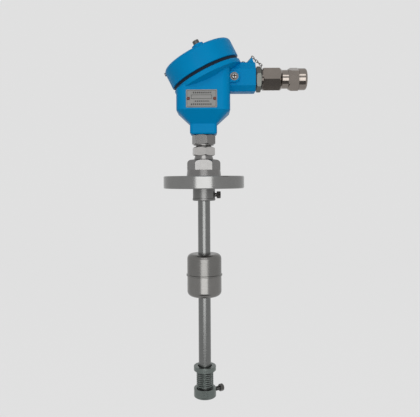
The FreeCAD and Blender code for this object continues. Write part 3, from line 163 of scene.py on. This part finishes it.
def turned_metal(name, colour, shade, rough, line, axis="Z", contrast=0.08):
    """Metal turned on a lathe: fine rings about the part's axis, seen as a change of gloss."""
    material = new_material(name)
    place = add(material, "ShaderNodeTexCoord")
    if axis == "X":
        place = add(
            material,
            "ShaderNodeMapping",
            {"Rotation": (0, -math.pi / 2, 0), "Location": (GLAND_AXIS_HEIGHT, 0, 0)},
            {"Vector": (place, "Object")},
        )
        output = "Vector"
    else:
        output = "Object"
    split = add(material, "ShaderNodeSeparateXYZ", links={"Vector": (place, output)})
    flat = add(material, "ShaderNodeCombineXYZ", links={"X": (split, "X"), "Y": (split, "Y")})
    radius = add(material, "ShaderNodeVectorMath", links={"Vector": (flat, 0)}, operation="LENGTH")
    rings = add(material, "ShaderNodeCombineXYZ", links={"X": (radius, "Value"), "Z": (split, "Z")})
    marks = add(
        material,
        "ShaderNodeTexNoise",
        {"Scale": 1 / line, "Detail": 3.0, "Roughness": 0.6},
        {"Vector": (rings, 0)},
    )
    stains = add(
        material,
        "ShaderNodeTexNoise",
        {"Scale": 1 / (9 * MM), "Detail": 3.0, "Roughness": 0.55},
        {"Vector": (place, output)},
    )
    tint = add(
        material,
        "ShaderNodeMix",
        {MIX_FIRST: linear(shade), MIX_SECOND: linear(colour)},
        {"Factor": (stains, "Fac")},
        data_type="RGBA",
    )
    gloss = add(
        material,
        "ShaderNodeMapRange",
        {"From Min": 0.3, "From Max": 0.7, "To Min": rough - contrast / 2, "To Max": rough + contrast / 2},
        {"Value": (marks, "Fac")},
    )
    relief = add(
        material,
        "ShaderNodeBump",
        {"Strength": 0.25, "Distance": 0.01 * MM},
        {"Height": (marks, "Fac")},
    )
    shader = add(
        material,
        "ShaderNodeBsdfPrincipled",
        {"Metallic": 1.0},
        {"Base Color": (tint, MIX_COLOUR), "Roughness": (gloss, "Result"), "Normal": (relief, "Normal")},
    )
    return finish_material(material, shader)


def plated_metal(name, colour, shade, rough, grain):
    """Small pressed or drawn metal pieces with a thin bright coat: even, with a faint cloudiness."""
    material = new_material(name)
    place = add(material, "ShaderNodeTexCoord")
    cloud = add(
        material,
        "ShaderNodeTexNoise",
        {"Scale": 1 / grain, "Detail": 3.0, "Roughness": 0.6},
        {"Vector": (place, "Object")},
    )
    tint = add(
        material,
        "ShaderNodeMix",
        {MIX_FIRST: linear(shade), MIX_SECOND: linear(colour)},
        {"Factor": (cloud, "Fac")},
        data_type="RGBA",
    )
    gloss = add(
        material,
        "ShaderNodeMapRange",
        {"To Min": rough - 0.05, "To Max": rough + 0.05},
        {"Value": (cloud, "Fac")},
    )
    relief = add(
        material,
        "ShaderNodeBump",
        {"Strength": 0.2, "Distance": 0.01 * MM},
        {"Height": (cloud, "Fac")},
    )
    shader = add(
        material,
        "ShaderNodeBsdfPrincipled",
        {"Metallic": 1.0},
        {"Base Color": (tint, MIX_COLOUR), "Roughness": (gloss, "Result"), "Normal": (relief, "Normal")},
    )
    return finish_material(material, shader)


def moulded(name, colour, shade, rough, grain, relief_depth):
    """Moulded rubber, plastic or pressed powder: no metal, a fine grain and a soft gloss."""
    material = new_material(name)
    place = add(material, "ShaderNodeTexCoord")
    speck = add(
        material,
        "ShaderNodeTexNoise",
        {"Scale": 1 / grain, "Detail": 2.0, "Roughness": 0.5},
        {"Vector": (place, "Object")},
    )
    tint = add(
        material,
        "ShaderNodeMix",
        {MIX_FIRST: linear(shade), MIX_SECOND: linear(colour)},
        {"Factor": (speck, "Fac")},
        data_type="RGBA",
    )
    relief = add(
        material,
        "ShaderNodeBump",
        {"Strength": 0.4, "Distance": relief_depth},
        {"Height": (speck, "Fac")},
    )
    shader = add(
        material,
        "ShaderNodeBsdfPrincipled",
        {"Roughness": rough, "IOR": 1.5},
        {"Base Color": (tint, MIX_COLOUR), "Normal": (relief, "Normal")},
    )
    return finish_material(material, shader)


def ruled_frame(material, place, centre, half_width, half_height, line):
    """Mask of one printed frame; with no height it is a rule broken into short dashes."""
    sides = []
    for axis, middle, half in (("X", centre[0], half_width), ("Z", centre[1], half_height)):
        moved = calculate(material, "SUBTRACT", (place, axis), middle)
        folded = calculate(material, "ABSOLUTE", (moved, 0))
        sides.append(calculate(material, "SUBTRACT", (folded, 0), half))
    outside = calculate(material, "MAXIMUM", (sides[0], 0), (sides[1], 0))
    near = calculate(material, "ABSOLUTE", (outside, 0))
    mask = calculate(material, "LESS_THAN", (near, 0), line / 2)
    if half_height:
        return mask
    dash_length, dash_spacing = 1.3 * MM, 2.4 * MM
    fold = calculate(material, "PINGPONG", (place, "X"), dash_spacing / 2)
    dash = calculate(material, "LESS_THAN", (fold, 0), dash_length / 2)
    return calculate(material, "MULTIPLY", (mask, 0), (dash, 0))


def blank_plate():
    """Brushed aluminium plate with no words: a border, an empty frame and dashed rules are printed."""
    material = new_material("brushed_aluminium_plate")
    place = add(material, "ShaderNodeTexCoord")
    split = add(material, "ShaderNodeSeparateXYZ", links={"Vector": (place, "Object")})
    marks = [
        # rise over the plate's middle, half the width, half the height, line
        (0.0, 17.9 * MM, 9.8 * MM, 0.35 * MM),
        (2.1 * MM, 12.6 * MM, 2.3 * MM, 0.45 * MM),
        (7.2 * MM, 11.0 * MM, 0.0, 2.0 * MM),
        (-3.4 * MM, 8.6 * MM, 0.0, 1.6 * MM),
        (-7.2 * MM, 12.1 * MM, 0.0, 2.0 * MM),
    ]
    print_mask = None
    for rise, half_width, half_height, line in marks:
        centre = (PLATE_ACROSS, PLATE_UP + rise)
        mask = ruled_frame(material, split, centre, half_width, half_height, line)
        if print_mask:
            mask = calculate(material, "MAXIMUM", (print_mask, 0), (mask, 0))
        print_mask = mask
    brushed = add(material, "ShaderNodeMapping", {"Scale": (1, 1, 14)}, {"Vector": (place, "Object")})
    grain = add(
        material,
        "ShaderNodeTexNoise",
        {"Scale": 1 / (3 * MM), "Detail": 3.0, "Roughness": 0.6},
        {"Vector": (brushed, "Vector")},
    )
    metal = add(
        material,
        "ShaderNodeMix",
        {MIX_FIRST: linear("6C6C6B"), MIX_SECOND: linear("7A7A78")},
        {"Factor": (grain, "Fac")},
        data_type="RGBA",
    )
    printed = add(
        material,
        "ShaderNodeMix",
        {MIX_SECOND: linear("2E2D2D")},
        {"Factor": (print_mask, 0), MIX_FIRST: (metal, MIX_COLOUR)},
        data_type="RGBA",
    )
    gloss = add(material, "ShaderNodeMapRange", {"To Min": 0.38, "To Max": 0.5}, {"Value": (grain, "Fac")})
    shader = add(
        material,
        "ShaderNodeBsdfPrincipled",
        {"Metallic": 1.0},
        {"Base Color": (printed, MIX_COLOUR), "Roughness": (gloss, "Result")},
    )
    return finish_material(material, shader)


def slotted_screw():
    """Zinc-plated screw whose driver slot and flank are darkened behind the crown as painted shade, which
    makes the slot readable.
    """
    material = new_material("slotted_screw_steel")
    place = add(material, "ShaderNodeTexCoord")
    split = add(material, "ShaderNodeSeparateXYZ", links={"Vector": (place, "Object")})
    worn = add(
        material,
        "ShaderNodeTexNoise",
        {"Scale": 1 / (0.8 * MM), "Detail": 2.0},
        {"Vector": (place, "Object")},
    )
    metal = add(
        material,
        "ShaderNodeMix",
        {MIX_FIRST: linear("8A8886"), MIX_SECOND: linear("A4A2A0")},
        {"Factor": (worn, "Fac")},
        data_type="RGBA",
    )
    # Painted shade: from 0.7 mm to 1 mm behind the crown the colour turns near black, standing for the shade
    # in the slot.
    depth = add(
        material,
        "ShaderNodeMapRange",
        {"From Min": SCREW_CROWN + 0.7 * MM, "From Max": SCREW_CROWN + 1.0 * MM},
        {"Value": (split, "Y")},
    )
    slot_painted_shade = add(
        material,
        "ShaderNodeMix",
        {MIX_SECOND: linear("262422")},
        {"Factor": (depth, "Result"), MIX_FIRST: (metal, MIX_COLOUR)},
        data_type="RGBA",
    )
    gloss = add(material, "ShaderNodeMapRange", {"To Min": 0.3, "To Max": 0.42}, {"Value": (worn, "Fac")})
    shader = add(
        material,
        "ShaderNodeBsdfPrincipled",
        {"Metallic": 1.0},
        {"Base Color": (slot_painted_shade, MIX_COLOUR), "Roughness": (gloss, "Result")},
    )
    return finish_material(material, shader)


def reed_glass():
    """Thin green-tinted glass of the sealed reed tubes."""
    material = new_material("reed_tube_glass")
    place = add(material, "ShaderNodeTexCoord")
    waves = add(
        material,
        "ShaderNodeTexNoise",
        {"Scale": 1 / (2 * MM), "Detail": 1.0},
        {"Vector": (place, "Object")},
    )
    relief = add(
        material,
        "ShaderNodeBump",
        {"Strength": 0.1, "Distance": 0.02 * MM},
        {"Height": (waves, "Fac")},
    )
    shader = add(
        material,
        "ShaderNodeBsdfPrincipled",
        {"Base Color": linear("CFE8DC"), "Roughness": 0.05, "IOR": 1.52, "Transmission Weight": 0.9},
        {"Normal": (relief, "Normal")},
    )
    return finish_material(material, shader)


def stage_surface():
    """Pale studio paper: seen and reflected at its own even colour, with a faint soft shadow."""
    material = new_material("studio_paper")
    even_share = 0.88
    shown = shown_rays(material)[1]
    paper = add(material, "ShaderNodeBsdfDiffuse", {"Color": linear("E1E1E1")})
    even = add(material, "ShaderNodeEmission", {"Color": linear("E8E8E8"), "Strength": 1.0})
    share = calculate(material, "MULTIPLY", (shown, 0), even_share)
    shader = add(material, "ShaderNodeMixShader", links={0: (share, 0), 1: (paper, 0), 2: (even, 0)})
    return finish_material(material, shader)


def stage():
    """Floor that curves up into a backdrop behind the object."""
    floor_level, front, reach, side, bend, height, steps = -0.45, -0.25, 2.2, 4.0, 1.2, 4.0, 12
    outline = [(front, floor_level), (reach, floor_level)]
    for step in range(1, steps + 1):
        turn = math.radians(90 * step / steps)
        outline.append((reach + bend * math.sin(turn), floor_level + bend * (1 - math.cos(turn))))
    outline.append((reach + bend, height))
    mesh = bpy.data.meshes.new("studio_paper")
    points = [(x, y, z) for y, z in outline for x in (-side, side)]
    faces = [(2 * i, 2 * i + 1, 2 * i + 3, 2 * i + 2) for i in range(len(outline) - 1)]
    mesh.from_pydata(points, [], faces)
    paper = bpy.data.objects.new("studio_paper", mesh)
    bpy.context.scene.collection.objects.link(paper)
    for face in mesh.polygons:
        face.use_smooth = True
    mesh.materials.append(stage_surface())


def add_panel(name, width, height, place, tilt, radiance):
    """A soft rectangular lamp of even brightness that faces the object; tilt 90 is upright."""
    lamp = bpy.data.lights.new(name, "AREA")
    lamp.shape = "RECTANGLE"
    lamp.size, lamp.size_y = width, height
    lamp.energy = radiance * math.pi * width * height
    panel = bpy.data.objects.new(name, lamp)
    panel.location = place
    panel.rotation_euler = (math.radians(tilt), 0, 0)
    bpy.context.scene.collection.objects.link(panel)


def light():
    """Two soft panels behind the camera, one level and one high, and an even grey room."""
    world = bpy.data.worlds.new("studio_room")
    bpy.context.scene.world = world
    world.use_nodes = True
    world.node_tree.nodes.clear()
    rays, shown = shown_rays(world)
    fill = add(world, "ShaderNodeBackground", {"Color": linear("FFFFFF"), "Strength": 0.38})
    pale = add(world, "ShaderNodeBackground", {"Color": linear("E1E1E1"), "Strength": 1.0})

    # The dark side of the room, low behind the camera, is seen only in reflections
    place = add(world, "ShaderNodeTexCoord")
    low = add(
        world,
        "ShaderNodeVectorMath",
        {1: (0, -0.64, -0.77)},
        {0: (place, "Generated")},
        operation="DOT_PRODUCT",
    )
    soft_edge = {"From Min": 0.78, "From Max": 0.90}
    edge = add(world, "ShaderNodeMapRange", soft_edge, {"Value": (low, "Value")})
    mirrored = calculate(world, "MULTIPLY", (edge, 0), (rays, "Is Glossy Ray"))
    dark = add(world, "ShaderNodeBackground", {"Color": linear("7A7A7A"), "Strength": 1.0})
    room = add(world, "ShaderNodeMixShader", links={0: (mirrored, 0), 1: (pale, 0), 2: (dark, 0)})
    shader = add(world, "ShaderNodeMixShader", links={0: (shown, 0), 1: (fill, 0), 2: (room, 0)})
    add(world, "ShaderNodeOutputWorld", links={"Surface": (shader, 0)})

    add_panel("front_panel", 1.30, 1.0, (0.0, -1.6, -0.15), 90, 2.4)
    add_panel("upper_panel", 1.30, 0.6, (0.0, -1.6, 1.30), 54, 2.2)


def camera():
    """Level camera just above the flange; the whole picture is turned by under half a degree."""
    width, height, sensor = 420, 417, 36
    distance, pixel, roll = 0.660, 1.307 * MM, math.radians(0.32)
    # The column and rows, in pixels, of the stem's axis, the flange's foot and the camera's level
    axis_column, flange_row, horizon = 203.9, 188.3, 180.0
    data = bpy.data.cameras.new("camera")
    data.sensor_width = sensor
    data.lens = sensor * distance / pixel / width
    data.shift_y = -(height / 2 - horizon) / width
    eye = bpy.data.objects.new("camera", data)
    eye.location = ((width / 2 - axis_column) * pixel, -distance, (flange_row - horizon) * pixel)
    eye.rotation_euler = (math.pi / 2, roll, 0)
    bpy.context.scene.collection.objects.link(eye)
    bpy.context.scene.camera = eye


def start_piece():
    """Nothing selected, so an operator acts on the new piece alone."""
    if bpy.context.object and bpy.context.object.mode != "OBJECT":
        bpy.ops.object.mode_set(mode="OBJECT")
    bpy.ops.object.select_all(action="DESELECT")


def thread(name, radius, length, pitch, height, place, body, material):
    """Helical thread ridge on a shank: one V-shaped tooth screwed along its axis and put in place."""
    root_share = 0.25  # depth of the tooth inside the shank, as a share of its height
    tooth_share = 0.92  # width of the tooth at its root, as a share of the pitch
    steps_per_turn, fewest_steps = 40, 12
    start_piece()
    bpy.ops.mesh.primitive_circle_add(
        vertices=4,
        radius=pitch / 2,
        fill_type="NOTHING",
        location=(radius, 0, 0),
        rotation=(math.pi / 2, 0, 0),
    )
    tooth = bpy.context.object
    tooth.name = name
    bpy.ops.object.transform_apply(location=True, rotation=True, scale=True)
    for vertex in tooth.data.vertices:
        across = (vertex.co.x - radius) / (pitch / 2)
        vertex.co.x = radius + height * across * (1 if across > 0 else root_share)
        vertex.co.z *= tooth_share
        vertex.co.z += pitch / 2
    screw = tooth.modifiers.new("lead", "SCREW")
    turns = (length - pitch) / pitch
    screw.axis = "Z"
    screw.angle = 2 * math.pi * turns
    screw.screw_offset = length - pitch
    screw.steps = screw.render_steps = max(fewest_steps, round(steps_per_turn * turns))
    screw.use_smooth_shade = False
    bpy.ops.object.modifier_apply(modifier=screw.name)
    bpy.ops.object.mode_set(mode="EDIT")
    bpy.ops.mesh.select_all(action="DESELECT")
    bpy.ops.mesh.select_non_manifold()
    bpy.ops.mesh.edge_face_add()
    bpy.ops.mesh.select_all(action="SELECT")
    bpy.ops.mesh.normals_make_consistent(inside=False)
    bpy.ops.object.mode_set(mode="OBJECT")
    tooth.data.transform(place)
    tooth.data.materials.append(material)
    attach(tooth, body)
    return tooth


def finish_nodes():
    """The finish of every solid of the CAD model."""
    paint = painted_casting()
    bright = turned_metal("turned_stainless", "888887", "7F7F7E", 0.18, 0.5 * MM, contrast=0.05)
    rolled = turned_metal("rolled_stainless_sheet", "82817F", "787775", 0.22, 0.5 * MM)
    # Upper float shell: the lower shell's stainless, rougher, with a darker colour as painted shade.
    brushed = turned_metal("brushed_shaded_stainless_sheet", "7A7977", "706F6D", 0.27, 0.5 * MM)
    # Upper collar: rougher stainless; its colour is also darkened as painted shade from the flange above it.
    dull_shaded = turned_metal("dull_shaded_collar_steel", "7A7A79", "6E6E6D", 0.36, 0.5 * MM)
    light_nut = turned_metal("bright_nut_steel", "C4C2C0", "B2B0AE", 0.3, 0.7 * MM)
    zinc = turned_metal("grey_nut_steel", "656763", "565854", 0.3, 0.6 * MM, axis="X", contrast=0.05)
    pale = turned_metal("machined_nut_steel", "838281", "757473", 0.26, 0.7 * MM)
    stem = turned_metal("drawn_stainless_tube", "7C7D7C", "707170", 0.27, 0.4 * MM, contrast=0.03)
    dark = turned_metal("oiled_spring_steel", "787F7C", "666D6A", 0.28, 0.5 * MM, contrast=0.12)
    plating = ("nickel_plated_brass", "928A83", "857E78", 0.1, 0.6 * MM)
    nickel = turned_metal(*plating, axis="X", contrast=0.05)
    dress(["head_body", "head_cap"], paint)
    dress(["flange"], bright)
    dress(["upper_stop_collar"], dull_shaded)
    dress(["float_lower_shell", "float_inner_tube"], rolled)
    dress(["float_upper_shell"], brushed)
    dress(["flange_fitting", "union_nut", "compression_ferrule", "threaded_nipple"], pale)
    dress(["neck_lock_nut"], light_nut)
    dress(["gland_lock_nut"], zinc)
    dress(["stem_tube", "stem_end_plug"], stem)
    dress(["lower_stop_collar", "buffer_washer", "buffer_spring"], dark)
    dress(["gland_body", "gland_nut", "gland_follower_ring"], nickel)
    dress(
        ["chain", "chain_ring", "chain_screw", "earth_washer", "cap_side_screw", "block_fixing_screws"],
        plated_metal("zinc_plated_steel", "7C7A78", "686664", 0.3, 2 * MM),
    )
    dress(["earth_screw"], slotted_screw())
    dress(
        ["cap_lock_bolt", "upper_set_bolt", "lower_set_bolt"],
        plated_metal("blackened_steel", "666563", "525150", 0.28, 1.5 * MM),
    )
    dress(["nameplate"], blank_plate())
    rivet = plated_metal("copper_rivet", "64403C", "52322F", 0.4, 1.0 * MM)
    dress(["nameplate_rivet_left", "nameplate_rivet_right"], rivet)
    dress(["terminal_screws"], plated_metal("brass", "C9A25E", "B8914E", 0.25, 1.0 * MM))
    rubber = moulded("black_nitrile_rubber", "1E1E1E", "161616", 0.55, 0.6 * MM, 0.03 * MM)
    dress(["gland_gasket", "gland_seal", "cap_seal_ring"], rubber)
    dress(["terminal_block"], moulded("cream_moulding_powder", "DDD6C2", "D2CAB4", 0.5, 0.8 * MM, 0.02 * MM))
    dress(["lead_wires"], moulded("wire_insulation", "B23A30", "A22E26", 0.4, 1.0 * MM, 0.01 * MM))
    dress(["reed_board"], moulded("glass_epoxy_board", "2F6B3C", "27603A", 0.4, 0.5 * MM, 0.02 * MM))
    dress(["float_magnet"], moulded("sintered_ferrite", "3A3A3C", "2E2E30", 0.45, 0.7 * MM, 0.03 * MM))
    dress(["reed_switches"], reed_glass())


def add_seal_and_shade_band():
    """Black sealing ring in the groove, tinted dark navy as painted shade of the groove: it lies on the rim
    and round the spigot.
    """
    start_piece()
    inner, outer, foot, top = 41.0 * MM, 45.3 * MM, -2.0 * MM, 1.85 * MM
    corner_power = 0.35  # 1 is a round section, 0 a rectangle
    middle, half_width, half_height = (inner + outer) / 2, (outer - inner) / 2, (top - foot) / 2
    bpy.ops.mesh.primitive_torus_add(
        major_segments=160, minor_segments=32, major_radius=middle, minor_radius=half_width
    )
    ring = bpy.context.object
    ring.name = "groove_seal_and_shade_ring"
    # The round section becomes a rectangle with rounded corners
    for vertex in ring.data.vertices:
        radius = math.hypot(vertex.co.x, vertex.co.y)
        across, up = (radius - middle) / half_width, vertex.co.z / half_width
        squared = middle + half_width * math.copysign(abs(across) ** corner_power, across)
        vertex.co.x *= squared / radius
        vertex.co.y *= squared / radius
        vertex.co.z = foot + half_height * (1 + math.copysign(abs(up) ** corner_power, up))
    ring.data.transform(Matrix.Translation(RIM_CENTRE) @ Matrix.Rotation(-RIM_TILT, 4, "Y"))
    bpy.ops.object.shade_smooth()
    # Painted shade: the near-black navy colour stands for the shade inside the groove.
    ring.data.materials.append(moulded("groove_seal_rubber_painted_shade", "001A30", "001222", 0.9, 0.6 * MM, 0.03 * MM))
    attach(ring, "mast")


def add_buffer_spring():
    """The spring as it is shown: a copy of the CAD spring's mesh on the mast, in place of the hidden
    original.
    """
    node = NODES["buffer_spring"]
    spring = bpy.data.objects.new("squeezed_buffer_spring", node.data.copy())
    bpy.context.scene.collection.objects.link(spring)
    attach(spring, "mast")
    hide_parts("buffer_spring")
    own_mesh(spring)


def add_threads():
    """Thread ridges where a threaded shank shows between two pieces."""
    pitch = 0.7 * MM
    steel = plated_metal("thread_steel", "7A7876", "666462", 0.3, 1.0 * MM)
    neck = Matrix.Translation((0, 0, 53.65 * MM))
    thread("nipple_thread", 10.0 * MM, 2.2 * MM, pitch, 0.3 * MM, neck, "mast", steel)
    black = plated_metal("black_thread_steel", "5C5B5A", "4A4948", 0.35, 1.5 * MM)
    along = Matrix.Rotation(math.pi / 2, 4, "Y")
    # The bolt's level, its turn about the stem, where the thread starts and its length, in mm
    for name, level, turn, start, length in (
        ("upper_set_bolt_thread", -8.5, 0, 15.0, 1.5),
        ("lower_set_bolt_thread", -265.2, 30, 14.6, 7.1),
    ):
        collar = Matrix.Translation((0, 0, level * MM)) @ Matrix.Rotation(math.radians(turn), 4, "Z")
        place = collar @ along @ Matrix.Translation((0, 0, start * MM))
        thread(name, 2.5 * MM, length * MM, pitch, 0.25 * MM, place, "mast", black)


bpy.context.scene.view_settings.view_transform = "Standard"
finish_nodes()
add_seal_and_shade_band()
add_buffer_spring()
add_threads()
stage()
light()
camera()
